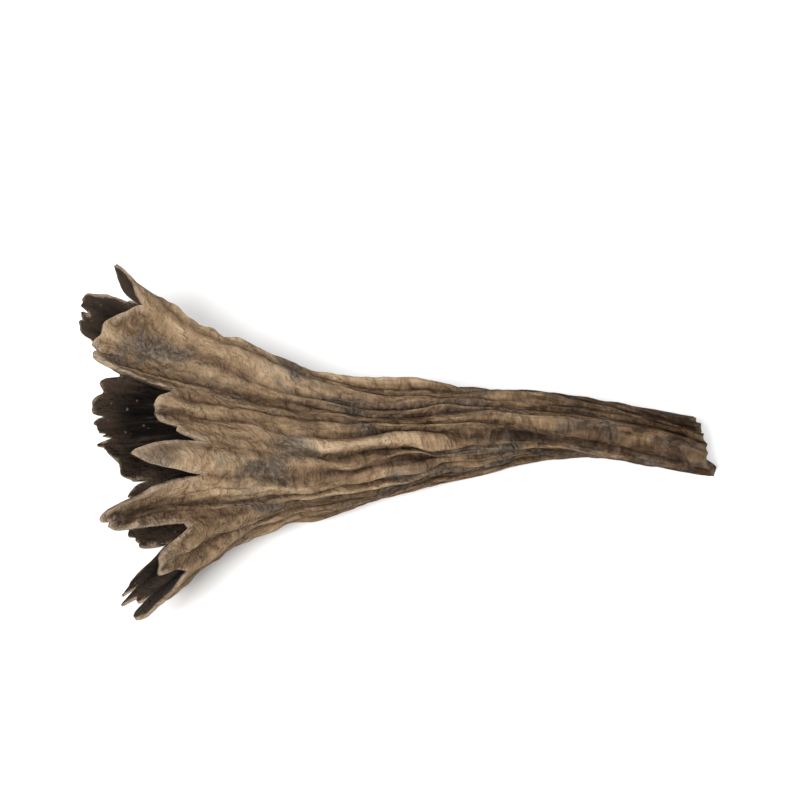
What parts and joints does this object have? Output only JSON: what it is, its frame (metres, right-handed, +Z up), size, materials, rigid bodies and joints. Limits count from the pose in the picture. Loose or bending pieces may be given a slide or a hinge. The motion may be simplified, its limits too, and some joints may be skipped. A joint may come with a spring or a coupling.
{
  "type": "black trumpet mushroom",
  "caption": "Dried black trumpet mushroom lying on its side: a thin leathery funnel with a torn, frilled rim and a hollow, wrung stem.",
  "frame": {"origin": "centre of the bounding box's underside, on the surface it lies on", "axes": "+Z up from the surface, -X out of the mouth, +X towards the foot of the stem"},
  "size_m": [0.0437, 0.0269, 0.0139],
  "materials": {
    "flesh": "matt, dry, fibrous; grey-brown outside, near black inside the funnel"
  },
  "bodies": {
    "root": {"black_trumpet": "flesh"}
  },
  "joints": []
}
